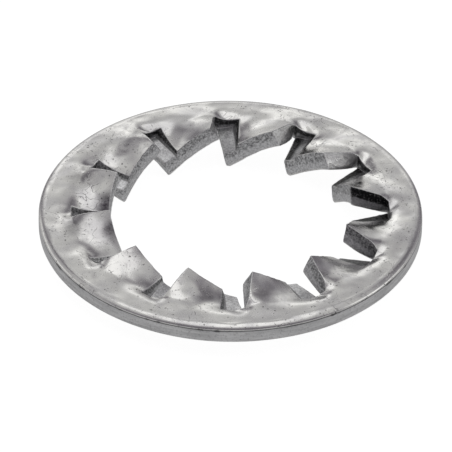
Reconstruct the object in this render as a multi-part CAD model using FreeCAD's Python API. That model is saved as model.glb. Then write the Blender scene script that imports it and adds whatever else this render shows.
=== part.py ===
"""Serrated lock washer with internal teeth, punched from spring-steel sheet in one piece.

The axis of the hole is Z and one tooth points along +X towards the middle. The washer lies on
z = 0 on the lowered corners of its teeth. Every tooth is twisted about its own length: its
clockwise side, seen from above, stands up and its counter-clockwise side hangs down. The tool
that pressed a tooth left a stepped mark on top of its lowered side, and pushed some metal
aside there, which forms a lip over the slot.
All sizes are in millimetres, all angles in degrees.
"""
import FreeCAD
import Part

import math
import os

# Driving dimensions of the punched blank
OUTER_DIAMETER = 20.5
BORE_DIAMETER = 13.0
SHEET_THICKNESS = 1.0
TEETH = 12
RING_WIDTH = 1.75
SLOT_ANGLE = 5.2
RIM_ROLLOVER = 0.25
RIM_LOWER_BREAK = 0.08

# Driving dimensions of the pressed twist
TIP_TILT = 33.3
FLAT_RIM_WIDTH = 0.5
TWIST_GROWTH = 1.15
SLOT_RELIEF = 0.3
TOOTH_SKEW = 1.7
TOOTH_DROP = 0.08
TIP_CORNER_CUT = 1.6

# Driving dimensions of the mark: where its step starts, seen from the tooth's middle, how
# far the step slants, how deep its foot lies and how steeply its floor falls aside
MARK_START = 8.2
MARK_SLANT_AT_TIP = 0.9
MARK_SLANT_AT_ROOT = 2.4
MARK_DEPTH_AT_TIP = 0.3
MARK_DEPTH_AT_ROOT = 0.48
MARK_SLOPE_AT_TIP = 0.36
MARK_SLOPE_AT_ROOT = 0.02
MARK_REACH = 17.1
MARK_END_STEP = 0.1

# Driving dimensions of the lip: where it starts inside the tooth, seen from the tooth's
# middle, where its upper and lower edge are, and how far it rises over the tooth's underside
LIP_START = 11.3
LIP_START_RISE = 0.04
LIP_EDGE_AT_TIP = 15.3
LIP_EDGE_AT_ROOT = 16.9
LIP_FOOT_AT_TIP = 13.6
LIP_FOOT_AT_ROOT = 16.7
LIP_RISE_AT_TIP = 0.0
LIP_RISE_AT_ROOT = 0.38

# Sizes that follow from them
OUTER_RADIUS = OUTER_DIAMETER / 2
BORE_RADIUS = BORE_DIAMETER / 2
ROOT_RADIUS = OUTER_RADIUS - RING_WIDTH
FLAT_RADIUS = OUTER_RADIUS - FLAT_RIM_WIDTH
HALF_SHEET = SHEET_THICKNESS / 2
PITCH = 360 / TEETH
TOOTH_SIDE = (PITCH - SLOT_ANGLE) / 2
TIP_LIFT = math.tan(math.radians(TIP_TILT)) * BORE_RADIUS * math.pi / TEETH

# What is cut off the blank is modelled this much too long, and what the tool did to a tooth
# goes on this far inside the hole
OVERLENGTH = 0.3
TOOL_OVERLENGTH = 0.03

# Points that each skin is interpolated through, along and across a tooth
TOOTH_ROWS = 9
RING_ROWS = 7
TOOTH_COLUMNS = 13
GAP_COLUMNS = 5

TOP = 1
BOTTOM = -1
AXIS = FreeCAD.Vector(0, 0, 1)
ORIGIN = FreeCAD.Vector(0, 0, 0)


def spread(first, last, count):
    """Evenly spaced values from first to last."""
    return [first + (last - first) * i / (count - 1) for i in range(count)]


def tooth_share(radius):
    """0 where the tooth leaves the ring, 1 at its tip."""
    return max(0.0, (ROOT_RADIUS - radius) / (ROOT_RADIUS - BORE_RADIUS))


def twist(radius, angle):
    """Height and cross slope of the middle of the sheet, at an angle from the tooth's middle.

    Beside the slots the section is a straight twisted line. Beyond the slots' ends it turns
    into a wave that fades out towards the flat rim.
    """
    wave = TEETH * math.radians(angle)
    fade = min(1.0, ((ROOT_RADIUS - SLOT_RELIEF) / radius) ** TEETH)
    growth = max(0.0, (FLAT_RADIUS - radius) / (FLAT_RADIUS - BORE_RADIUS)) ** TWIST_GROWTH
    lift = TIP_LIFT * growth * 2 / math.pi
    height = -lift * math.atan2(fade * math.sin(wave), 1 + fade * math.cos(wave))
    height -= TOOTH_DROP * growth
    steepness = TEETH * fade * (fade + math.cos(wave))
    steepness /= 1 + 2 * fade * math.cos(wave) + fade ** 2
    return height, -lift * steepness / radius


def sheet_point(radius, angle, side):
    """A point of the top or bottom skin, square to the middle of the sheet.

    The pressed tooth also leans a little sideways, away from its raised side.
    """
    height, slope = twist(radius, angle)
    tilt = math.atan(slope)
    shifted = math.radians(angle + TOOTH_SKEW * tooth_share(radius) ** 2)
    shifted -= side * HALF_SHEET * math.sin(tilt) / radius
    z = height + side * HALF_SHEET * math.cos(tilt)
    return FreeCAD.Vector(radius * math.cos(shifted), radius * math.sin(shifted), z)


def tooth_strip(radius, side):
    """Angles of a tooth's sides. The upper lowered corner is cut back towards the tip."""
    cut = TIP_CORNER_CUT * tooth_share(radius) if side == TOP else 0
    return -TOOTH_SIDE, TOOTH_SIDE - cut


def strip_before(radius, side):
    """Half the ring's part behind the slot before the tooth."""
    return -PITCH / 2, -TOOTH_SIDE


def strip_after(radius, side):
    """Half the ring's part behind the slot after the tooth."""
    return TOOTH_SIDE, PITCH / 2


def skin_point(strip, radius, share, side):
    """A point of the skin at a share, from 0 to 1, of the strip's width."""
    first, last = strip(radius, side)
    return sheet_point(radius, first + (last - first) * share, side)


def smooth_curve(points, parameters):
    """A cubic spline through the points, at the given parameters."""
    curve = Part.BSplineCurve()
    curve.interpolate(Points=points, Parameters=parameters)
    return curve


def smooth_surface(strip, radii, shares, side):
    """A cubic spline surface through the skin's points on a grid of radii and shares."""
    rows = []
    for radius in radii:
        points = [skin_point(strip, radius, share, side) for share in shares]
        rows.append(smooth_curve(points, shares))
    columns = []
    for poles in zip(*[row.getPoles() for row in rows]):
        columns.append(smooth_curve(list(poles), radii))
    surface = Part.BSplineSurface()
    surface.buildFromPolesMultsKnots(
        [list(poles) for poles in zip(*[column.getPoles() for column in columns])],
        columns[0].getMultiplicities(),
        rows[0].getMultiplicities(),
        columns[0].getKnots(),
        rows[0].getKnots(),
        False,
        False,
        3,
        3,
    )
    return surface.toShape()


def wall(point, parameters):
    """The cut edge of the sheet: straight lines from its top skin to its bottom skin."""
    edges = []
    for side in (TOP, BOTTOM):
        points = [point(parameter, side) for parameter in parameters]
        edges.append(smooth_curve(points, parameters).toShape())
    return Part.makeRuledSurface(edges[0], edges[1])


def wall_along_tooth(radii, share):
    """The punched side of a tooth."""
    return wall(lambda radius, side: skin_point(tooth_strip, radius, share, side), radii)


def wall_across(strip, radius, shares):
    """The punched end of a slot, or the end of a tooth."""
    return wall(lambda share, side: skin_point(strip, radius, share, side), shares)


def rim_segment(first_angle, last_angle):
    """The flat rim over a stretch of the ring, left too wide."""
    corners = [
        FreeCAD.Vector(FLAT_RADIUS, 0, HALF_SHEET),
        FreeCAD.Vector(OUTER_RADIUS + OVERLENGTH, 0, HALF_SHEET),
        FreeCAD.Vector(OUTER_RADIUS + OVERLENGTH, 0, -HALF_SHEET),
        FreeCAD.Vector(FLAT_RADIUS, 0, -HALF_SHEET),
    ]
    profile = Part.makePolygon(corners)
    profile.rotate(ORIGIN, AXIS, first_angle)
    return profile.revolve(ORIGIN, AXIS, last_angle - first_angle).Faces


def sector_faces():
    """All the skin of one tooth and of the ring behind it, up to the middles of two slots."""
    tooth_radii = spread(BORE_RADIUS - OVERLENGTH, ROOT_RADIUS, TOOTH_ROWS)
    ring_radii = spread(ROOT_RADIUS, FLAT_RADIUS, RING_ROWS)
    tooth_shares = spread(0, 1, TOOTH_COLUMNS)
    gap_shares = spread(0, 1, GAP_COLUMNS)
    strips = [(strip_before, gap_shares), (tooth_strip, tooth_shares), (strip_after, gap_shares)]
    faces = []
    for side in (TOP, BOTTOM):
        faces.append(smooth_surface(tooth_strip, tooth_radii, tooth_shares, side))
        for strip, shares in strips:
            faces.append(smooth_surface(strip, ring_radii, shares, side))
    for share in (0, 1):
        faces.append(wall_along_tooth(tooth_radii, share))
    faces.append(wall_across(tooth_strip, tooth_radii[0], tooth_shares))
    for strip in (strip_before, strip_after):
        faces.append(wall_across(strip, ROOT_RADIUS, gap_shares))
    for strip, shares in strips:
        faces += rim_segment(*strip(FLAT_RADIUS, TOP))
    return faces


def twisted_blank():
    """The whole washer before it is cut to size: one sector's skin, repeated and closed."""
    faces = []
    for tooth in range(TEETH):
        for face in sector_faces():
            face.rotate(ORIGIN, AXIS, tooth * PITCH)
            faces.append(face)
    skin = Part.makeCompound(faces)
    skin.sewShape()
    return Part.Solid(skin.Shells[0]).removeSplitter()


def trimming_ring():
    """What is taken off the over-wide rim: it leaves it rolled over above and unburred below."""
    outside = OUTER_RADIUS + 2 * OVERLENGTH
    above = HALF_SHEET + OVERLENGTH
    roll_centre_r = OUTER_RADIUS - RIM_ROLLOVER
    roll_centre_z = HALF_SHEET - RIM_ROLLOVER
    diagonal = RIM_ROLLOVER * math.sqrt(0.5)
    roll_start = FreeCAD.Vector(roll_centre_r, 0, HALF_SHEET)
    roll_middle = FreeCAD.Vector(roll_centre_r + diagonal, 0, roll_centre_z + diagonal)
    roll_end = FreeCAD.Vector(OUTER_RADIUS, 0, roll_centre_z)
    outline = [
        roll_end,
        FreeCAD.Vector(OUTER_RADIUS, 0, RIM_LOWER_BREAK - HALF_SHEET),
        FreeCAD.Vector(OUTER_RADIUS - RIM_LOWER_BREAK, 0, -HALF_SHEET),
        FreeCAD.Vector(OUTER_RADIUS - RIM_LOWER_BREAK, 0, -above),
        FreeCAD.Vector(outside, 0, -above),
        FreeCAD.Vector(outside, 0, above),
        FreeCAD.Vector(roll_centre_r, 0, above),
        roll_start,
    ]
    edges = Part.makePolygon(outline).Edges + [Part.Arc(roll_start, roll_middle, roll_end).toShape()]
    return Part.Face(Part.Wire(edges)).revolve(ORIGIN, AXIS, 360)


def skin_height(radius, true_angle, side):
    """Height of a skin at a true angle, which the tilt sets apart from the sheet's own."""
    angle = true_angle
    for _ in range(8):
        point = sheet_point(radius, angle, side)
        angle += true_angle - math.degrees(math.atan2(point.y, point.x))
    return point.z


class Section:
    """The mark and the lip in the plane square to the line of the step, at one distance."""

    def __init__(self, ahead, slant, depth, slope):
        self.ahead = ahead
        self.foot = ahead * math.tan(math.radians(slant))
        self.skin = skin_height(ahead, MARK_START, TOP)
        self.foot_height = self.skin - depth
        self.slope = slope

    def aside(self, true_angle):
        """Distance from the line of the step, for an angle from the tooth's middle."""
        return self.ahead * math.tan(math.radians(true_angle - MARK_START))

    def floor(self, aside):
        """Height of the mark's floor."""
        return self.foot_height - self.slope * (aside - self.foot)

    def mark(self):
        """Outline of what the tool displaced, carried on well above the skin."""
        outer = self.aside(MARK_REACH)
        above = self.skin + SHEET_THICKNESS
        step_slope = self.foot / (self.skin - self.foot_height)
        top = self.foot - step_slope * (above - self.foot_height)
        return [(self.foot, self.foot_height), (outer, self.floor(outer)), (outer, above), (top, above)]

    def lip(self, edge_angle, foot_angle, rise):
        """Outline of the lip, from inside the tooth. The mark still cuts its top down."""
        start = self.aside(LIP_START)
        start_height = skin_height(self.ahead, LIP_START, BOTTOM)
        foot = self.aside(foot_angle)
        foot_height = start_height + rise
        edge = self.aside(edge_angle)
        overcut = MARK_END_STEP / 2
        top = edge + (edge - foot) * overcut / (self.floor(edge) - foot_height)
        return [
            (start, self.floor(start) + overcut),
            (top, self.floor(edge) + overcut),
            (foot, foot_height),
            (start, start_height + LIP_START_RISE),
        ]


def along_tooth(tip, root, tip_outline, root_outline):
    """A ruled solid between the outlines at the tip and at the root, carried on into the hole."""
    inside = BORE_RADIUS * (1 - math.cos(math.radians(MARK_REACH - MARK_START)))
    longer = (inside + TOOL_OVERLENGTH) / (ROOT_RADIUS - BORE_RADIUS)
    turn = FreeCAD.Rotation(AXIS, MARK_START)
    inner, outer = [], []
    for (tip_aside, tip_height), (root_aside, root_height) in zip(tip_outline, root_outline):
        first = FreeCAD.Vector(tip.ahead, tip_aside, tip_height)
        last = FreeCAD.Vector(root.ahead, root_aside, root_height)
        inner.append(turn.multVec(first - (last - first) * longer))
        outer.append(turn.multVec(last))
    wires = [Part.makePolygon(corners + corners[:1]) for corners in (inner, outer)]
    return Part.makeLoft(wires, True, True)


def around(shape):
    """A copy of the shape for every tooth."""
    copies = []
    for tooth in range(TEETH):
        turned = shape.copy()
        turned.rotate(ORIGIN, AXIS, tooth * PITCH)
        copies.append(turned)
    return copies


def washer():
    """The finished washer, lying on the lowered corners of its teeth."""
    tip = Section(BORE_RADIUS, MARK_SLANT_AT_TIP, MARK_DEPTH_AT_TIP, MARK_SLOPE_AT_TIP)
    root = Section(ROOT_RADIUS, MARK_SLANT_AT_ROOT, MARK_DEPTH_AT_ROOT, MARK_SLOPE_AT_ROOT)
    lip = along_tooth(
        tip,
        root,
        tip.lip(LIP_EDGE_AT_TIP, LIP_FOOT_AT_TIP, LIP_RISE_AT_TIP),
        root.lip(LIP_EDGE_AT_ROOT, LIP_FOOT_AT_ROOT, LIP_RISE_AT_ROOT),
    )
    height = 4 * (TIP_LIFT + SHEET_THICKNESS)
    base = ORIGIN - AXIS * (height / 2)
    mark = along_tooth(tip, root, tip.mark(), root.mark())
    mark = mark.common(Part.makeCylinder(ROOT_RADIUS - MARK_END_STEP, height, base))
    bore = Part.makeCylinder(BORE_RADIUS, height, base)
    body = twisted_blank().fuse(around(lip))
    body = body.cut([bore, trimming_ring()] + around(mark))
    lowest = sheet_point(BORE_RADIUS, TOOTH_SIDE, BOTTOM).z
    body.translate(AXIS * -lowest)
    return body


os.makedirs("parts", exist_ok=True)
part = washer()
part.exportStep("parts/washer.step")
print("washer: valid", part.isValid(), "solids", len(part.Solids), "faces", len(part.Faces))
print("volume", round(part.Volume, 3), "height", round(part.BoundBox.ZMax, 3))
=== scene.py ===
import math

import bmesh
import bpy
from mathutils import Matrix, Vector, noise


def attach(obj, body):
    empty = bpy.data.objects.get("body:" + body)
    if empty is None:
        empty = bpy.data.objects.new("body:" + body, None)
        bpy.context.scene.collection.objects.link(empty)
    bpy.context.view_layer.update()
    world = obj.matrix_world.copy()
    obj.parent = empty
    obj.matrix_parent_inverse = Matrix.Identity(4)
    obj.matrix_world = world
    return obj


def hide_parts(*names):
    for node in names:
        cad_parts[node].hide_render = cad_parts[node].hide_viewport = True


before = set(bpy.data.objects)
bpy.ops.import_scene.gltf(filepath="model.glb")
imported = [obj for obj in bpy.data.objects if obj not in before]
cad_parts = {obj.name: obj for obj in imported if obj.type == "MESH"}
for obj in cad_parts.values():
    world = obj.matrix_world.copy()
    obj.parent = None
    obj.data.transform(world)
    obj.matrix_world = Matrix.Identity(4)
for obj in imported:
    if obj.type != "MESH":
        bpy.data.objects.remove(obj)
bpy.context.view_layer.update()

# Metres in a millimetre. Sizes are in millimetres and degrees, but where a comment says metres
MM = 0.001

# The ring and its teeth, with the solid's own sizes
OUTER_RADIUS = 10.25
BORE_RADIUS = 6.5
ROOT_RADIUS = 8.5
FLAT_RADIUS = 9.75
HALF_SHEET = 0.5
TEETH = 12
PITCH = 360.0 / TEETH
TOOTH_EDGE = 12.4
TIP_TILT = 33.3
TWIST_GROWTH = 1.15
SLOT_RELIEF = 0.3
TOOTH_SKEW = 1.7
TOOTH_DROP = 0.08
RIM_ROLLOVER = 0.25
RIM_LOWER_BREAK = 0.08
TIP_LIFT = math.tan(math.radians(TIP_TILT)) * BORE_RADIUS * math.pi / TEETH

# The mark of the pressing tool and the lip beside it, with the solid's own sizes
MARK_START = 8.2
MARK_SLANT_AT_TIP = 0.9
MARK_SLANT_AT_ROOT = 2.4
MARK_DEPTH_AT_TIP = 0.3
MARK_DEPTH_AT_ROOT = 0.48
MARK_SLOPE_AT_TIP = 0.36
MARK_SLOPE_AT_ROOT = 0.02
LIP_START = 11.3
LIP_EDGE_AT_TIP = 15.3
LIP_EDGE_AT_ROOT = 16.9
LIP_FOOT_AT_TIP = 13.6
LIP_FOOT_AT_ROOT = 16.7

# The bulge of a tooth, and where it lies across the tooth
CROWN = 0.08
CROWN_MIDDLE = -2.0
CROWN_REACH = 10.4

# How far the top skin is drawn down at the outer end of a slot, how wide that is, and the share
# of a distance that counts on the side of the hole, where the dent runs out slowly
DENT = 0.19
DENT_RADIUS = 8.55
DENT_WIDTH = 0.48
DENT_INWARD = 0.4

# The low ridge that twisting the teeth left on the top of the ring
RIDGE = 0.065
RIDGE_RADIUS = 8.95
RIDGE_WIDTH = 0.6

# The rolled edge's section: out from where it starts, and down from the ring's top
ROLL_REACH = 0.4
GROOVE_DEPTH = 0.02
ROLLED = (
    (0.0, 0.0),
    (0.1, 0.009),
    (0.2, 0.034),
    (0.28, 0.066),
    (0.34, 0.1),
    (0.38, 0.14),
    (0.398, 0.19),
    (ROLL_REACH - GROOVE_DEPTH, RIM_ROLLOVER),
)
RIM_START = OUTER_RADIUS - ROLL_REACH

# Unevenness of the surface: its height, how often it changes in a millimetre, and its own shift
SWELL = (0.05, 0.6, (0, 0, 0))
RIPPLE = (0.016, 1.7, (9, 2, 5))
SHEAR = (0.014, 4.0, (3, 3, 3))
SMEAR = (0.012, 2.6, (5, 1, 7))
NICKS = (0.02, 5.5, (1, 8, 4))

# How much less of it the rim has, and how far the edges are worn down
RIM_EVENNESS = 0.85
EDGE_WEAR = 0.006

# The camera, from the photograph. Its azimuth is 0 where it looks along +Y
CAMERA_AZIMUTH = 11.2
CAMERA_ELEVATION = 36.7
CAMERA_ROLL = 0.76
CAMERA_DISTANCE = 235.23
CAMERA_LENS = 350.48
CAMERA_SHIFT = (-0.00992, -0.02063)
CAMERA_CLIP = 10.0

# Rounds after which the search for an angle or a place on a line has settled
SKIN_ROUNDS = 8
LINE_ROUNDS = 5
GAP_ROUNDS = 40


def twist(radius, angle):
    """Height and cross slope of the middle of the sheet, at an angle from the tooth's middle."""
    wave = TEETH * math.radians(angle)
    fade = min(1.0, ((ROOT_RADIUS - SLOT_RELIEF) / radius) ** TEETH)
    growth = max(0.0, (FLAT_RADIUS - radius) / (FLAT_RADIUS - BORE_RADIUS)) ** TWIST_GROWTH
    lift = TIP_LIFT * growth * 2 / math.pi
    height = -lift * math.atan2(fade * math.sin(wave), 1 + fade * math.cos(wave))
    height -= TOOTH_DROP * growth
    steepness = TEETH * fade * (fade + math.cos(wave))
    steepness /= 1 + 2 * fade * math.cos(wave) + fade ** 2
    return height, -lift * steepness / radius


def inward(radius):
    """How far towards the tip a radius lies: 0 at the root and outside it, 1 at the tip."""
    return max(0.0, (ROOT_RADIUS - radius) / (ROOT_RADIUS - BORE_RADIUS))


def lean(radius):
    """How far the tooth leans sideways, in degrees."""
    return TOOTH_SKEW * inward(radius) ** 2


def crown(radius, angle):
    """How far the tooth bulges between its raised side and the mark."""
    return CROWN * inward(radius) * max(0.0, 1 - ((angle - CROWN_MIDDLE) / CROWN_REACH) ** 2)


def sheet(radius, angle, level):
    """(radius, true angle, height) at a level from -1, the bottom skin, to 1, the top skin."""
    height, slope = twist(radius, angle)
    height += crown(radius, angle)
    tilt = math.atan(slope)
    turned = angle + lean(radius) - math.degrees(level * HALF_SHEET * math.sin(tilt) / radius)
    return radius, turned, height + level * HALF_SHEET * math.cos(tilt)


def around(radius, angle, level):
    """A point of the sheet where the angle may be past this tooth's half of the slot."""
    if angle > PITCH / 2:
        _, turned, height = sheet(radius, angle - PITCH, level)
        return radius, turned + PITCH, height
    return sheet(radius, angle, level)


def skin_angle(radius, turned, level):
    """The sheet's own angle at which a skin lies at a true angle."""
    angle = turned
    for _ in range(SKIN_ROUNDS):
        angle += turned - sheet(radius, angle, level)[1]
    return angle


def skin_angle_in_gap(turned, level):
    """The sheet's own angle beyond the slot's end for a true angle there."""
    low, high = TOOTH_EDGE, PITCH - TOOTH_EDGE
    for _ in range(GAP_ROUNDS):
        middle = (low + high) / 2
        if around(ROOT_RADIUS, middle, level)[1] < turned:
            low = middle
        else:
            high = middle
    return low


# Heights of the lowest and highest corners, and of the bottom skin where the lip starts
LOWEST = sheet(BORE_RADIUS, TOOTH_EDGE, -1)[2]
HIGHEST = sheet(BORE_RADIUS, -TOOTH_EDGE, 1)[2]
LIP_HEIGHT = sheet(BORE_RADIUS, skin_angle(BORE_RADIUS, LIP_START, -1), -1)[2]

# The sheet's own angles where the lip's edge, its foot and the next tooth meet the ring
EDGE_END = skin_angle_in_gap(LIP_EDGE_AT_ROOT, 1)
FOOT_END = skin_angle_in_gap(LIP_FOOT_AT_ROOT, -1)
FAR_SIDE = PITCH - TOOTH_EDGE


def between(a, b, share):
    """The point, or the list of numbers, at a share of the way from a to b."""
    return tuple(u + (v - u) * share for u, v in zip(a, b))


def corners(ahead, start, slant, depth, slope, edge, foot, foot_height):
    """The mark's and the lip's corners as (aside, height), square to the line of the step."""
    aside = ahead * math.tan(math.radians(slant))
    floor = sheet(ahead, skin_angle(ahead, start, 1), 1)[2] - depth
    edge_aside = ahead * math.tan(math.radians(edge - start))
    foot_aside = ahead * math.tan(math.radians(foot - start))
    return {
        "step_foot": (aside, floor),
        "lip_edge": (edge_aside, floor - slope * (edge_aside - aside)),
        "lip_foot": (foot_aside, foot_height),
    }


class Tooth:
    """One tooth, a little different from the solid's as the tool and the sheet differ.

    start, edge and foot turn the step and the lip's two lines. depth, slope and rise change the
    mark and the lip at the tip. The rest is how much painted shade the raised side, the mark's
    floor, its outer half and the step get. A raised side below 0 gets painted light instead.
    """

    def __init__(
        self,
        start=0.0,
        depth=0.0,
        slope=0.0,
        edge=0.0,
        foot=0.0,
        rise=0.0,
        raised=0.2,
        shade=0.0,
        outer=None,
        step=0.9,
    ):
        self.start = MARK_START + start
        # Zones whose fourth share is painted shade; a share of mark on the raised side makes it
        # painted light
        self.step_zone = (1, 0, 0, step)
        self.raised_zone = (1, max(0.0, -raised), 0, max(0.0, raised))
        self.floor_zone = (0, 1, 0, shade)
        self.outer_zone = (0, 1, 0, shade if outer is None else outer)
        self.tip = corners(
            BORE_RADIUS,
            self.start,
            MARK_SLANT_AT_TIP,
            MARK_DEPTH_AT_TIP + depth,
            MARK_SLOPE_AT_TIP + slope,
            LIP_EDGE_AT_TIP + edge,
            LIP_FOOT_AT_TIP + foot,
            LIP_HEIGHT + rise,
        )
        self.root = corners(
            ROOT_RADIUS,
            self.start,
            MARK_SLANT_AT_ROOT,
            MARK_DEPTH_AT_ROOT,
            MARK_SLOPE_AT_ROOT,
            LIP_EDGE_AT_ROOT,
            LIP_FOOT_AT_ROOT,
            around(ROOT_RADIUS, FOOT_END, -1)[2],
        )

    def skin_columns(self, radius):
        """The sheet's own angles across the top skin, up to the mark, and on beneath the mark."""
        mark = skin_angle(radius, self.start, 1)
        left = columns(radius, -TOOTH_EDGE, mark, TOP_COLUMNS)
        return left, columns(radius, mark, TOOTH_EDGE, MARK_COLUMNS)

    def on_line(self, radius, name):
        """Where the line of a corner, from the tip to the root, passes a radius."""
        ahead = radius
        for _ in range(LINE_ROUNDS):
            along = (ahead - BORE_RADIUS) / (ROOT_RADIUS - BORE_RADIUS)
            aside, height = between(self.tip[name], self.root[name], along)
            ahead = math.sqrt(radius ** 2 - aside ** 2)
        return radius, self.start + math.degrees(math.atan2(aside, ahead)), height

    def floor_point(self, radius, share):
        """A point of the mark's floor: share 0 on the step's foot, 1 on the lip's edge."""
        return between(self.on_line(radius, "step_foot"), self.on_line(radius, "lip_edge"), share)


# What differs from the solid, tooth by tooth from the one on +X, counter-clockwise, and each
# tooth's painted shade and painted light
TEETH_AS_SEEN = [
    Tooth(raised=0.35, shade=0.8, outer=1.0),
    Tooth(edge=-0.4, foot=-0.6, raised=1.0, shade=0.5, outer=1.1),
    Tooth(edge=-0.2, foot=-0.4, rise=0.02, raised=-1.0, shade=0.1, outer=1.1),
    Tooth(edge=0.1, raised=-0.5),
    Tooth(foot=-0.4),
    Tooth(start=0.6, edge=-0.3, step=0.5),
    Tooth(start=0.8, edge=-0.6, step=0.6),
    Tooth(start=2.2, step=0.25),
    Tooth(slope=-0.05, edge=-0.2, step=0.5),
    Tooth(start=-0.3, depth=-0.02, slope=-0.1, edge=-0.1, step=0.5),
    Tooth(start=-0.4, depth=-0.1, slope=-0.12, edge=-1.2, foot=-0.5, raised=0.1, step=0.5),
    Tooth(edge=-0.5, foot=-0.3, raised=0.1, shade=0.7),
]

# Distance from a sharp edge to the line of mesh that holds it: in general, below the joint of a
# wall and above its foot, where the edge is rounder
EDGE = 0.05
WALL_HEAD = 0.12
ROUNDING = 0.27

# The same at both sides of a mark's floor, a lip's foot and a slot's end, as shares of the width
FLOOR_SIDES = (0.06, 0.16)
UNDER_SIDES = (0.3, 0.35)
GAP_SIDES = (0.3, 0.3)

# Rows and columns of the mesh, between the lines that hold the edges
TIP_TO_ROOT = 9
ROOT_TO_RIM = 7
TOP_COLUMNS = 12
MARK_COLUMNS = 2
LIP_COLUMNS = 2
GAP_COLUMNS = 1
UPPER_LEVELS = 2
LOWER_LEVELS = 3
RIM_LEVELS = 2

# A mark's floor has as many columns as the skin and the lip beneath it, whose held lines at the
# corner between them add two
FLOOR_COLUMNS = MARK_COLUMNS + LIP_COLUMNS + 2

# A wall has an upper stretch, about as high as the step of a mark, and a lower one
UPPER_WALL = 0.4
LOWER_WALL = 2 * HALF_SHEET - UPPER_WALL
JOINT_SHARE = UPPER_WALL / (2 * HALF_SHEET)

# Shares of sheared wall, mark, rim and painted shade. A wall with a share of mark is painted
# light
SKIN, CUT, PAINTED_SHADE_CUT, RIM = (0, 0, 0, 0), (1, 0, 0, 0), (1, 0, 0, 0.9), (0, 0, 1, 0)

# Digits of a millimetre to which points are compared when they are welded
WELD_DIGITS = 5


class Cage:
    """Quads in polar millimetres, welded where they meet."""

    def __init__(self):
        self.index = {}
        self.points = []
        self.zones = []
        self.depths = []
        self.faces = []

    def vertex(self, polar, turn, zone, depth):
        """The number of the vertex at a point, which is made where there is none."""
        radius, angle, height = polar
        a = math.radians(angle + turn)
        point = (radius * math.cos(a), radius * math.sin(a), height - LOWEST)
        key = tuple(round(c, WELD_DIGITS) for c in point)
        if key not in self.index:
            self.index[key] = len(self.points)
            self.points.append(point)
            self.zones.append([])
            self.depths.append([])
        i = self.index[key]
        self.zones[i].append(zone)
        self.depths[i].append(depth)
        return i

    def patch(self, rows, turn, zone):
        """A grid of quads over rows of polar points. A wall's rows run down from its top."""
        ids = []
        for row in rows:
            depths = [k / (len(row) - 1) if zone[0] else 0 for k in range(len(row))]
            ids.append([self.vertex(p, turn, zone, d) for p, d in zip(row, depths)])
        for lower, upper in zip(ids, ids[1:]):
            for k in range(len(lower) - 1):
                quad = (lower[k], lower[k + 1], upper[k + 1], upper[k])
                if len(set(quad)) > 2:
                    self.faces.append(tuple(dict.fromkeys(quad)))

    def mesh(self):
        """The cage as a mesh in metres that carries its zones and depths."""
        mesh = bpy.data.meshes.new("cage")
        mesh.from_pydata([tuple(c * MM for c in p) for p in self.points], [], self.faces)
        mesh.attributes.new("zones", "FLOAT_COLOR", "POINT")
        mesh.attributes.new("depth", "FLOAT", "POINT")
        zones, depths = mesh.attributes["zones"], mesh.attributes["depth"]
        for i, found in enumerate(self.zones):
            zones.data[i].color = [sum(z[k] for z in found) / len(found) for k in range(4)]
            depths.data[i].value = sum(self.depths[i]) / len(found)
        bm = bmesh.new()
        bm.from_mesh(mesh)
        bmesh.ops.recalc_face_normals(bm, faces=bm.faces)
        bm.to_mesh(mesh)
        bm.free()
        return mesh


def held(first, last, count, edge_first=EDGE, edge_last=EDGE):
    """Values from first to last, evenly spread between one close to each end."""
    sign = 1 if last > first else -1
    inner = [first + sign * edge_first, last - sign * edge_last]
    step = (inner[1] - inner[0]) / count
    return [first] + [inner[0] + step * i for i in range(count + 1)] + [last]


def columns(radius, first, last, count):
    """Angles at a radius, with lines held near both ends."""
    edge = math.degrees(EDGE / radius)
    return held(first, last, count, edge, edge)


def spread(first, last, shares):
    """Angles at shares of the way from the first to the last."""
    return [first + (last - first) * share for share in shares]


def joined(*parts):
    """Lists that share their ends, as one list."""
    out = list(parts[0])
    for part in parts[1:]:
        out += part[1:]
    return out


TOOTH_ROWS = held(BORE_RADIUS, ROOT_RADIUS, TIP_TO_ROOT)
RING_ROWS = held(ROOT_RADIUS, RIM_START, ROOT_TO_RIM)
FLOOR_SHARES = held(0.0, 1.0, FLOOR_COLUMNS, *FLOOR_SIDES)
UNDER_SHARES = held(0.0, 1.0, LIP_COLUMNS, *UNDER_SIDES)
GAP_SHARES = held(0.0, 1.0, GAP_COLUMNS, *GAP_SIDES)
UPPER_SHARES = [v / UPPER_WALL for v in held(0.0, UPPER_WALL, UPPER_LEVELS)]
LOWER_SHARES = [
    v / LOWER_WALL for v in held(0.0, LOWER_WALL, LOWER_LEVELS, WALL_HEAD, ROUNDING)
]


def wall(tops, feet, shares):
    """Rows of points down a wall, from each point of its top to the one below."""
    return [[between(top, foot, s) for s in shares] for top, foot in zip(tops, feet)]


def column(top, joint, foot):
    """Points down a whole wall, through the joint of its two stretches."""
    upper = [between(top, joint, s) for s in UPPER_SHARES]
    return upper + [between(joint, foot, s) for s in LOWER_SHARES[1:]]


def tooth_skins(tooth):
    """Rows from tip to root of the top and bottom skin, the mark's floor and the lip's foot."""
    top, bottom, floor, under = [], [], [], []
    for radius in TOOTH_ROWS:
        left, right = tooth.skin_columns(radius)
        top.append([sheet(radius, a, 1) for a in left])
        bottom.append([sheet(radius, a, -1) for a in joined(left, right)])
        floor.append([tooth.floor_point(radius, s) for s in FLOOR_SHARES])
        foot = tooth.on_line(radius, "lip_foot")
        under.append([between(bottom[-1][-1], foot, s) for s in UNDER_SHARES])
    beneath = spread(TOOTH_EDGE, FOOT_END, UNDER_SHARES)
    under[-1] = [around(ROOT_RADIUS, a, -1) for a in beneath]
    return top, bottom, floor, under


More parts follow.
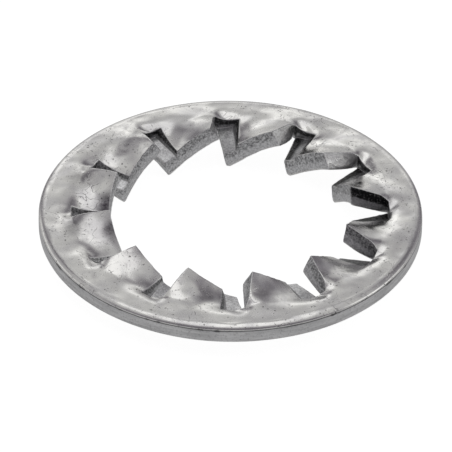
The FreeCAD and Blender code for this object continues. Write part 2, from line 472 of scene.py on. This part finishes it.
def rim_section():
    """(radius, height) round the rolled edge, down the rim and under its broken lower edge."""
    section = [(RIM_START + out, HALF_SHEET - down) for out, down in ROLLED]
    levels = held(HALF_SHEET - RIM_ROLLOVER, RIM_LOWER_BREAK - HALF_SHEET, RIM_LEVELS)
    section += [(OUTER_RADIUS, height) for height in levels[1:]]
    return section + [(OUTER_RADIUS - RIM_LOWER_BREAK, -HALF_SHEET), (RIM_START, -HALF_SHEET)]


def add_ring(cage, turn, root_top, root_bottom):
    """The ring from the angles at which its two skins start, out to the rim and round it."""
    far = [(a + b) / 2 for a, b in zip(root_top, root_bottom)]
    for root, level in ((root_top, 1), (root_bottom, -1)):
        rows = []
        for radius in RING_ROWS:
            share = (radius - ROOT_RADIUS) / (RIM_START - ROOT_RADIUS)
            rows.append([around(radius, a, level) for a in between(root, far, share)])
        cage.patch(rows, turn, SKIN)
    cage.patch([[(r, a, z) for a in far] for r, z in rim_section()], turn, RIM)


def add_tip(cage, turn, top, bottom, floor, under):
    """The tip's wall beside the mark and below it, from the rows of skin at the tip."""
    beside = len(top)
    drop = (top[-1][2] - floor[0][2]) / (top[-1][2] - bottom[beside - 1][2])
    rows = []
    for k, (a, b) in enumerate(zip(top, bottom)):
        share = JOINT_SHARE + (drop - JOINT_SHARE) * k / (beside - 1)
        joint = floor[0] if k == beside - 1 else between(a, b, share)
        rows.append(column(a, joint, b))
    cage.patch(rows, turn, CUT)
    cage.patch(wall(floor, joined(bottom[beside - 1:], under), LOWER_SHARES), turn, CUT)


def build_tooth(cage, turn, tooth):
    """One tooth with its slot and its part of the ring."""
    top, bottom, floor, under = tooth_skins(tooth)
    cage.patch(top, turn, SKIN)
    cage.patch(bottom, turn, SKIN)

    # The mark's floor in two halves, by the step and by the lip's edge, each with its own painted
    # shade, and the lip's foot
    half = len(FLOOR_SHARES) // 2
    cage.patch([row[:half + 1] for row in floor], turn, tooth.floor_zone)
    cage.patch([row[half:] for row in floor], turn, tooth.outer_zone)
    cage.patch(under, turn, SKIN)

    # The ring starts from the mark's columns on top and from the lip's below
    left, right = tooth.skin_columns(ROOT_RADIUS)
    over = spread(left[-1], EDGE_END, FLOOR_SHARES)
    over_gap = spread(EDGE_END, FAR_SIDE, GAP_SHARES)
    beneath = spread(TOOTH_EDGE, FOOT_END, UNDER_SHARES)
    beneath_gap = spread(FOOT_END, FAR_SIDE, GAP_SHARES)
    root_top = joined(left, over, over_gap)
    root_bottom = joined(left, right, beneath, beneath_gap)
    add_ring(cage, turn, root_top, root_bottom)

    # The step from the top skin down to the mark's floor, and the mark's end at the ring, both
    # with the tooth's painted shade
    floor_feet, floor_edges = [row[0] for row in floor], [row[-1] for row in floor]
    ends = [around(ROOT_RADIUS, a, 1) for a in over]
    cage.patch(wall([row[-1] for row in top], floor_feet, UPPER_SHARES), turn, tooth.step_zone)
    cage.patch(wall(ends, floor[-1], UPPER_SHARES), turn, tooth.step_zone)

    # The lowered side of the tooth, from the floor down, and the whole raised side, which gets
    # the tooth's painted shade, and painted light where raised is below 0
    cage.patch(wall(floor_edges, [row[-1] for row in under], LOWER_SHARES), turn, CUT)
    raised = [(t[0], between(t[0], b[0], JOINT_SHARE), b[0]) for t, b in zip(top, bottom)]
    cage.patch([column(*points) for points in raised], turn, tooth.raised_zone)

    # The end of the slot, between the lip and the next tooth's raised side, darkened by painted
    # shade
    tops = [around(ROOT_RADIUS, a, 1) for a in over_gap]
    feet = [around(ROOT_RADIUS, a, -1) for a in beneath_gap]
    last_joint = between(tops[-1], feet[-1], JOINT_SHARE)
    joints = [between(floor_edges[-1], last_joint, s) for s in GAP_SHARES]
    cage.patch([column(*points) for points in zip(tops, joints, feet)], turn, PAINTED_SHADE_CUT)

    add_tip(cage, turn, top[0], bottom[0], floor[0], under[0])


def subdivided(mesh):
    """The mesh after one smooth subdivision."""
    rough = bpy.data.objects.new("rough", mesh)
    bpy.context.scene.collection.objects.link(rough)
    rough.modifiers.new("smooth", "SUBSURF").levels = 1
    seen = rough.evaluated_get(bpy.context.evaluated_depsgraph_get())
    fine = bpy.data.meshes.new_from_object(seen)
    bpy.data.objects.remove(rough)
    bpy.data.meshes.remove(mesh)
    return fine


def pressed(point):
    """How far the ridge lifts a point, less what the end of the nearest slot draws down.

    Both are full on the ring's top and fade out towards its underside.
    """
    turned = math.radians(math.degrees(math.atan2(point.y, point.x)) % PITCH - PITCH / 2)
    radius = point.xy.length
    aside, out = radius * math.sin(turned), radius * math.cos(turned) - DENT_RADIUS
    share = min(1.0, max(0.0, (point.z + LOWEST + HALF_SHEET) / (2 * HALF_SHEET)))
    ridge = RIDGE * math.exp(-(((radius - RIDGE_RADIUS) / RIDGE_WIDTH) ** 2))
    dent = DENT * math.exp(-(aside ** 2 + max(out, DENT_INWARD * out) ** 2) / DENT_WIDTH ** 2)
    return share * (ridge - dent)


def uneven(point, height, fineness, shift):
    """How far one kind of unevenness lifts a point."""
    return height * noise.noise(point * fineness + Vector(shift))


def worn(mesh):
    """Move the surface as pressing, shearing and tumbling left it, inside the solid's box."""
    zones = [tuple(item.color) for item in mesh.attributes["zones"].data]
    normals = [vertex.normal.copy() for vertex in mesh.vertices]
    for vertex, (cut, mark, rim, _), normal in zip(mesh.vertices, zones, normals):
        point = vertex.co / MM
        on_edge = max(0.0, 1 - abs(cut - 0.5) * 2)
        lift = uneven(point, *SWELL) + uneven(point, *RIPPLE)
        lift *= 1 - RIM_EVENNESS * rim
        lift += cut * uneven(point, *SHEAR) + mark * uneven(point, *SMEAR)
        lift += on_edge * (uneven(point, *NICKS) - EDGE_WEAR)
        moved = point + normal * lift
        moved.z += pressed(point)
        reach = moved.xy.length
        if reach > OUTER_RADIUS:
            moved.xy *= OUTER_RADIUS / reach
        moved.z = min(max(moved.z, 0.0), HIGHEST - LOWEST)
        vertex.co = moved * MM


# The washer
cage = Cage()
for number, tooth in enumerate(TEETH_AS_SEEN):
    build_tooth(cage, number * PITCH, tooth)
mesh = subdivided(cage.mesh())
mesh.name = "washer_metal"
worn(mesh)
for polygon in mesh.polygons:
    polygon.use_smooth = True
piece = bpy.data.objects.new("washer_metal", mesh)
bpy.context.scene.collection.objects.link(piece)
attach(piece, "root")
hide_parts("washer")


class Graph:
    """Small helper that adds nodes to a material or a world."""

    def __init__(self, owner):
        owner.use_nodes = True
        self.tree = owner.node_tree

    def add(self, kind, *inputs, **settings):
        """A node with its first inputs set to values or joined to sockets."""
        made = self.tree.nodes.new("ShaderNode" + kind)
        for name, value in settings.items():
            setattr(made, name, value)
        for socket, value in zip(made.inputs, inputs):
            self.feed(socket, value)
        return made

    def feed(self, socket, value):
        """Set an input to a value or colour, or join it to a socket or a node's first output."""
        if isinstance(value, bpy.types.Node):
            value = value.outputs[0]
        if isinstance(value, bpy.types.NodeSocket):
            self.tree.links.new(value, socket)
        elif socket.type == "RGBA":
            socket.default_value = (*value, 1)
        else:
            socket.default_value = value

    def math(self, operation, a, b=0.0, clamp=False):
        return self.add("Math", a, b, operation=operation, use_clamp=clamp).outputs[0]

    def times(self, a, b):
        return self.math("MULTIPLY", a, b)

    def plus(self, a, b):
        return self.math("ADD", a, b)

    def less(self, a, b):
        """a less b, and never under 0."""
        return self.math("SUBTRACT", a, b, True)

    def apart(self, a, b):
        """How far a and b are apart."""
        return self.math("ABSOLUTE", self.math("SUBTRACT", a, b))

    def stirred(self, value, by, amount):
        """A value moved up and down by a noise round 0.5."""
        return self.plus(value, self.times(self.math("SUBTRACT", by, 0.5), amount))

    def blend(self, kind, name, share, a, b):
        """What lies between a and b."""
        made = self.add("Mix", data_type=kind)
        for socket, value in (("Factor_Float", share), (f"A_{name}", a), (f"B_{name}", b)):
            self.feed(next(i for i in made.inputs if i.identifier == socket), value)
        return next(o for o in made.outputs if o.identifier == f"Result_{name}")

    def mix(self, share, a, b):
        """A number between a and b."""
        return self.blend("FLOAT", "Float", share, a, b)

    def tint(self, share, a, b):
        """A colour between a and b."""
        return self.blend("RGBA", "Color", share, a, b)

    def ramp(self, value, stops):
        """A number that follows (place, level) stops."""
        made = self.add("ValToRGB", value)
        made.color_ramp.interpolation = "EASE"
        points = made.color_ramp.elements
        while len(points) < len(stops):
            points.new(0.5)
        for point, (place, level) in zip(points, stops):
            point.position = place
            point.color = (level, level, level, 1)
        return made.outputs[0]

    def rising(self, value, low, high):
        """0 up to a low value and 1 from a high one."""
        return self.ramp(value, ((low, 0), (high, 1)))

    def falling(self, value, low, high):
        """1 up to a low value and 0 from a high one."""
        return self.ramp(value, ((low, 1), (high, 0)))

    def noise(self, where, scale, detail=2.0, roughness=0.5, distortion=0.0):
        """Noise with its scale in swells to the millimetre."""
        made = self.add("TexNoise")
        for name, value in (
            ("Vector", where),
            ("Scale", scale),
            ("Detail", detail),
            ("Roughness", roughness),
            ("Distortion", distortion),
        ):
            self.feed(made.inputs[name], value)
        return made.outputs[0]


# Colours of the metal. A pair is what one noise goes between
SKIN_TONES = ((0.68, 0.67, 0.675), (0.84, 0.83, 0.815))
BLOT = (0.38, 0.365, 0.385)
FLAW = (0.09, 0.085, 0.09)
# Painted dark reflection on the top skin
PAINTED_REFLECTION = (0.08, 0.07, 0.085)
SHEARED = ((0.2, 0.2, 0.205), (0.78, 0.78, 0.79))
BURNISHED = ((0.6, 0.6, 0.61), (0.85, 0.85, 0.86))
# Painted shade on sheared walls
WALL_SHADE = ((0.02, 0.02, 0.021), (0.2, 0.2, 0.2))
# Painted light on sheared walls
PAINTED_LIGHT_WALL = ((0.98, 0.98, 0.975), (0.6, 0.6, 0.6))
BURR = (0.12, 0.11, 0.12)
TREAD = ((0.5, 0.5, 0.51), (0.85, 0.85, 0.86))
# Painted shade on a mark's floor
PAINTED_SHADE_TREAD = ((0.03, 0.03, 0.03), (0.22, 0.22, 0.22))
# Painted highlight on the edges between a skin and a wall
EDGE_HIGHLIGHT = (0.9, 0.9, 0.9)
RIM_TONES = ((0.56, 0.56, 0.565), (0.76, 0.76, 0.765))
RIM_SPECK = (0.3, 0.29, 0.3)
# Painted shade in the groove under the rolled edge
GROOVE_SHADE = (0.05, 0.05, 0.05)

# Painted dark reflections on the top skin: x, y and reach in millimetres, and how dark
PAINTED_REFLECTIONS = (
    (-6.6, -0.7, 0.9, 1.0),
    (-5.75, -3.35, 0.75, 0.9),
    (-7.8, -3.4, 1.1, 0.5),
    (-8.6, 1.15, 1.3, 0.4),
    (0.7, -7.3, 0.9, 0.3),
)

# How much of blots, scratches, flaws and the painted shade in the groove shows
BLOTS_SHOWN = 0.2
SCRATCHES_SHOWN = 0.8
FLAWS_SHOWN = 0.85
GROOVE_SHADE_SHOWN = 0.85

# Half the width of a scratch, as a share of its noise
SCRATCH_WIDTH = 0.008

# Distances from the groove's middle where its painted shade is full and gone, heights between
# which the rim's wall gives way to the rolled edge, and how noise is stretched into streaks along
# the rim
GROOVE_SHADE_LINE = (0.02, 0.07)
ROLL_SHOWN = (0.27, 0.33)
STREAKS = (0.35, 0.35, 4.0)

# Roughness of the skin in its dull and bright clouds, and of the rest
SKIN_ROUGHNESS = (0.24, 0.17)
BLOT_ROUGHNESS = 0.32
CUT_ROUGHNESS = 0.5
LIGHT_ROUGHNESS = 0.3
MARK_ROUGHNESS = 0.38
RIM_ROUGHNESS = 0.4

# Heights that the bump adds, as shares of its distance. A pair is on skin and on a sheared wall
BUMP_DISTANCE = 0.03
BUMP_STRENGTH = 0.8
SWELL_BUMP = 0.6
GRAIN_BUMP = (0.05, 0.9)
FINE_BUMP = (0.02, 0.15)
FLAW_BUMP = 0.3


class Zinc(Graph):
    """Bright zinc on the rolled skins, grey on what was sheared."""

    def __init__(self, material):
        super().__init__(material)
        place = self.add("TexCoord").outputs["Object"]
        self.where = self.add("VectorMath", place, (1 / MM,) * 3, operation="MULTIPLY")
        self.level = self.plus(self.add("SeparateXYZ", self.where).outputs["Z"], LOWEST)
        attribute = self.add("Attribute", attribute_name="zones")
        self.cut, self.mark, self.rim = self.add("SeparateColor", attribute).outputs
        # How much painted shade a place gets, from the zones' fourth share
        self.dark = attribute.outputs["Alpha"]
        self.depth = self.add("Attribute", attribute_name="depth").outputs["Fac"]

        # What several looks share: clouds and blots of the skin, grain of the walls, and flaws
        clouds = self.grown(0.55, detail=3, roughness=0.55, distortion=0.6)
        self.clouds = self.rising(clouds, 0.34, 0.62)
        blots = self.grown(1.5, detail=4, roughness=0.6, distortion=0.8)
        self.blots = self.rising(blots, 0.5, 0.7)
        self.grain = self.grown(9.0, detail=4, roughness=0.7)
        self.coarse = self.rising(self.grain, 0.36, 0.64)
        scratches = self.times(self.scratches(), SCRATCHES_SHOWN)
        self.flaws = self.math("MAXIMUM", self.pits(), scratches)

        # Walls painted light, and the rolled edge above the rim's own wall
        self.painted_light = self.times(self.mark, self.rising(self.cut, 0.7, 0.95))
        self.over = self.times(self.rim, self.rising(self.level, *ROLL_SHOWN))

    def grown(self, scale, **settings):
        """Noise that lies in the metal."""
        return self.noise(self.where, scale, **settings)

    def pits(self):
        """Small pits, most of them in clusters."""
        pits = self.rising(self.grown(7.0, detail=3, roughness=0.6), 0.625, 0.675)
        return self.times(pits, self.ramp(self.grown(0.9), ((0.4, 0.1), (0.62, 1))))

    def scratches(self):
        """Hairlines where a winding noise passes its middle, in some places only."""
        thread = self.apart(self.grown(0.8, roughness=0.4, distortion=1.5), 0.5)
        hairlines = self.falling(thread, 0.0, SCRATCH_WIDTH)
        return self.times(hairlines, self.rising(self.grown(0.7, detail=1), 0.52, 0.6))

    def skin(self):
        """The rolled skin, clouded, with painted dark reflections in places."""
        colour = self.tint(self.clouds, *SKIN_TONES)
        colour = self.tint(self.times(self.blots, BLOTS_SHOWN), colour, BLOT)
        colour = self.tint(self.times(self.flaws, FLAWS_SHOWN), colour, FLAW)
        flat = self.add("VectorMath", self.where, (1, 1, 0), operation="MULTIPLY")
        ragged = self.ramp(self.grown(2.5, detail=4, roughness=0.7), ((0.35, 0.55), (0.65, 1)))
        # Painted dark reflections, with ragged edges
        for x, y, reach, strength in PAINTED_REFLECTIONS:
            away = self.add("VectorMath", flat, (x, y, 0), operation="DISTANCE").outputs["Value"]
            reflection_share = self.ramp(self.math("DIVIDE", away, reach), ((0.15, strength), (1.0, 0)))
            colour = self.tint(self.times(reflection_share, ragged), colour, PAINTED_REFLECTION)
        return colour

    def wall(self):
        """A sheared wall: grey, or dark with painted shade, burnished low down, or painted light
        with a dark upper line.
        """
        wall_shade = self.tint(self.rising(self.grain, 0.5, 0.66), *WALL_SHADE)
        # Painted shade, by the zones' fourth share
        colour = self.tint(self.dark, self.tint(self.coarse, *SHEARED), wall_shade)
        low = self.rising(self.stirred(self.depth, self.grown(2.0), 0.5), 0.5, 0.66)
        burnished = self.times(low, self.mix(self.dark, 0.75, 0.5))
        colour = self.tint(burnished, colour, self.tint(self.coarse, *BURNISHED))
        lined = self.ramp(self.stirred(self.depth, self.grain, 0.12), ((0.05, 0.8), (0.12, 0)))
        # Painted light on walls with a share of mark, with a dark upper line
        painted_light_wall = self.tint(self.rising(self.blots, 0.1, 0.5), *PAINTED_LIGHT_WALL)
        return self.tint(self.painted_light, colour, self.tint(lined, painted_light_wall, BURR))

    def tread(self):
        """The floor of a mark, darkened by painted shade as its zone's fourth share says."""
        dark = self.tint(self.coarse, *PAINTED_SHADE_TREAD)
        return self.tint(self.dark, self.tint(self.coarse, *TREAD), dark)

    def rim_wall(self):
        """The rim's wall, streaked round the ring."""
        along = self.add("VectorMath", self.where, STREAKS, operation="MULTIPLY")
        streaks = self.rising(self.noise(along, 1.6, detail=3, roughness=0.6), 0.3, 0.7)
        specks = self.ramp(self.grain, ((0.3, 0.6), (0.5, 0)))
        return self.tint(specks, self.tint(streaks, *RIM_TONES), RIM_SPECK)

    def groove_shade(self):
        """Painted shade along the groove under the rolled edge, broken here and there."""
        line = self.apart(self.level, HALF_SHEET - RIM_ROLLOVER)
        breaks = self.ramp(self.grown(1.3, detail=3, roughness=0.6), ((0.34, 0.6), (0.5, 1.8)))
        return self.times(self.falling(self.times(line, breaks), *GROOVE_SHADE_LINE), self.rim)

    def edge_highlight(self):
        """Painted highlight along the edges between a skin and a wall."""
        edges = self.ramp(self.cut, ((0.12, 0), (0.34, 1), (0.55, 0)))
        return self.times(edges, self.ramp(self.blots, ((0, 0.8), (1, 0.2))))

    def colour(self):
        colour = self.tint(self.rising(self.mark, 0.3, 0.7), self.skin(), self.tread())
        colour = self.tint(self.rising(self.cut, 0.45, 0.7), colour, self.wall())
        colour = self.tint(self.edge_highlight(), colour, EDGE_HIGHLIGHT)
        on_rim = self.less(self.rising(self.rim, 0.4, 0.6), self.over)
        colour = self.tint(on_rim, colour, self.rim_wall())
        return self.tint(self.times(self.groove_shade(), GROOVE_SHADE_SHOWN), colour, GROOVE_SHADE)

    def roughness(self):
        rough = self.mix(self.clouds, *SKIN_ROUGHNESS)
        rough = self.mix(self.blots, rough, BLOT_ROUGHNESS)
        rough = self.mix(self.cut, rough, self.mix(self.painted_light, CUT_ROUGHNESS, LIGHT_ROUGHNESS))
        rough = self.mix(self.mark, rough, MARK_ROUGHNESS)
        return self.mix(self.less(self.rim, self.over), rough, RIM_ROUGHNESS)

    def bump(self):
        height = self.times(self.grown(1.0, roughness=0.4), SWELL_BUMP)
        height = self.plus(height, self.times(self.grain, self.mix(self.cut, *GRAIN_BUMP)))
        height = self.plus(height, self.times(self.grown(30.0), self.mix(self.cut, *FINE_BUMP)))
        height = self.math("SUBTRACT", height, self.times(self.flaws, FLAW_BUMP))
        made = self.add("Bump")
        made.inputs["Strength"].default_value = BUMP_STRENGTH
        made.inputs["Distance"].default_value = BUMP_DISTANCE * MM
        self.feed(made.inputs["Height"], height)
        return made


def metal():
    """The one material of the washer."""
    material = bpy.data.materials.new("bright_zinc")
    zinc = Zinc(material)
    shader = zinc.tree.nodes["Principled BSDF"]
    shader.inputs["Metallic"].default_value = 1.0
    zinc.feed(shader.inputs["Base Color"], zinc.colour())
    zinc.feed(shader.inputs["Roughness"], zinc.roughness())
    zinc.feed(shader.inputs["Normal"], zinc.bump())
    return material


mesh.materials.append(metal())

# Level directions away from the camera and to its right
a_view, e_view = math.radians(CAMERA_AZIMUTH), math.radians(CAMERA_ELEVATION)
AWAY = Vector((-math.sin(a_view), math.cos(a_view), 0))
SIDE = Vector((math.cos(a_view), math.sin(a_view), 0))

# The camera, which looks at the middle of the ring's sheet
camera = bpy.data.objects.new("camera", bpy.data.cameras.new("camera"))
bpy.context.scene.collection.objects.link(camera)
bpy.context.scene.camera = camera
back = Vector(
    (
        math.sin(a_view) * math.cos(e_view),
        -math.cos(a_view) * math.cos(e_view),
        math.sin(e_view),
    )
)
target = Vector((0, 0, -LOWEST * MM))
camera.location = target + back * CAMERA_DISTANCE * MM
facing = (-back).to_track_quat("-Z", "Y").to_matrix().to_4x4()
roll = Matrix.Rotation(math.radians(CAMERA_ROLL), 4, "Z")
camera.matrix_world = Matrix.Translation(camera.location) @ facing @ roll
camera.data.lens = CAMERA_LENS
camera.data.shift_x, camera.data.shift_y = CAMERA_SHIFT
camera.data.clip_start = CAMERA_CLIP * MM

# The floor, in metres, and how bright it is by itself to the camera and in the metal
FLOOR_SIZE = 4
WHITE = (1, 1, 1)
PAPER = (0.3, 0.3, 0.3)
GLOW_SEEN = 0.92
GLOW_MIRRORED = 0.36

# The studio's brightness by the sine of the height above the horizon
FALL = (
    (0.0, 0.42),
    (0.17, 0.56),
    (0.42, 1.0),
    (0.57, 0.58),
    (0.67, 0.43),
    (0.78, 0.5),
    (0.87, 0.6),
    (1.0, 0.5),
)

# Its brightness round about: 0.5 is straight ahead of the camera, 0.75 to the right
PANELS = (
    (0.0, 0.6),
    (0.33, 0.95),
    (0.385, 0.85),
    (0.42, 0.22),
    (0.46, 1.3),
    (0.5, 1.05),
    (0.54, 0.9),
    (0.585, 0.24),
    (0.64, 0.5),
    (0.7, 0.9),
    (0.76, 2.2),
    (0.84, 0.7),
    (1.0, 0.6),
)

# How the panels fade upward, and how it all darkens from ahead, 1, to behind the camera, 0
PANELS_FADE = ((0.7, 1.0), (0.87, 0.15))
DARKER_BEHIND = ((0.22, 0.4), (0.45, 0.72), (0.62, 1.0))

# Its tints, and the brightness at which each is full
DARK_AIR, BRIGHT_AIR = (1.03, 0.975, 1.07), (1.0, 1.0, 0.985)
AIR_RANGE = (0.15, 0.55)

# The softbox: its place in degrees and metres, its side in metres and its radiance
KEY_AZIMUTH = -8
KEY_ELEVATION = 76
KEY_DISTANCE = 0.6
KEY_SIDE = 0.36
KEY_RADIANCE = 0.5


def seen_by_camera(graph, rays):
    """1 where the camera looks straight at a thing, or at it through something clear."""
    straight, through = rays.outputs["Is Camera Ray"], rays.outputs["Is Transmission Ray"]
    return graph.math("MAXIMUM", straight, through)


def lay_floor():
    """Paper that is white to the camera and dimmer in reflections, and keeps a faint shadow."""
    bpy.ops.mesh.primitive_plane_add(size=FLOOR_SIZE, location=(0, 0, 0))
    floor = bpy.context.object
    floor.name = "floor"
    paper = bpy.data.materials.new("paper")
    g = Graph(paper)
    rays = g.add("LightPath")
    seen = g.times(seen_by_camera(g, rays), GLOW_SEEN)
    mirrored = g.times(rays.outputs["Is Glossy Ray"], GLOW_MIRRORED)
    glow = g.add("Emission", WHITE, g.plus(seen, mirrored))
    both = g.add("AddShader", g.add("BsdfDiffuse", PAPER), glow)
    g.feed(g.tree.nodes["Material Output"].inputs["Surface"], both)
    floor.data.materials.append(paper)


def hang_backdrop():
    """A studio that is white to the camera, with brighter and darker parts for the metal."""
    world = bpy.data.worlds.new("studio")
    bpy.context.scene.world = world
    g = Graph(world)
    way = g.add("TexCoord").outputs["Generated"]
    height = g.add("SeparateXYZ", way).outputs["Z"]
    across, ahead = [
        g.add("VectorMath", way, tuple(v), operation="DOT_PRODUCT").outputs["Value"]
        for v in (SIDE, AWAY)
    ]
    round_about = g.plus(g.math("DIVIDE", g.math("ARCTAN2", across, ahead), 2 * math.pi), 0.5)
    panels = g.mix(g.ramp(height, PANELS_FADE), 1.0, g.ramp(round_about, PANELS))
    forward = g.plus(g.times(ahead, 0.5), 0.5)
    studio = g.times(g.times(g.ramp(height, FALL), panels), g.ramp(forward, DARKER_BEHIND))
    seen = seen_by_camera(g, g.add("LightPath"))
    strength = g.mix(seen, studio, 1.0)
    air = g.tint(g.rising(strength, *AIR_RANGE), DARK_AIR, BRIGHT_AIR)
    background = g.tree.nodes["Background"]
    g.feed(background.inputs["Strength"], strength)
    g.feed(background.inputs["Color"], g.tint(seen, air, WHITE))


def hang_softbox():
    """An area lamp. Its azimuth is 0 away from the camera, and grows to the right."""
    lamp = bpy.data.lights.new("key", "AREA")
    lamp.size = KEY_SIDE
    lamp.energy = KEY_RADIANCE * math.pi * KEY_SIDE ** 2
    key = bpy.data.objects.new("key", lamp)
    bpy.context.scene.collection.objects.link(key)
    a, e = math.radians(KEY_AZIMUTH), math.radians(KEY_ELEVATION)
    spot = (AWAY * math.cos(a) + SIDE * math.sin(a)) * math.cos(e) + Vector((0, 0, math.sin(e)))
    key.location = spot * KEY_DISTANCE
    key.rotation_euler = (-spot).to_track_quat("-Z", "Y").to_euler()


lay_floor()
hang_backdrop()
hang_softbox()

bpy.context.scene.view_settings.view_transform = "Standard"
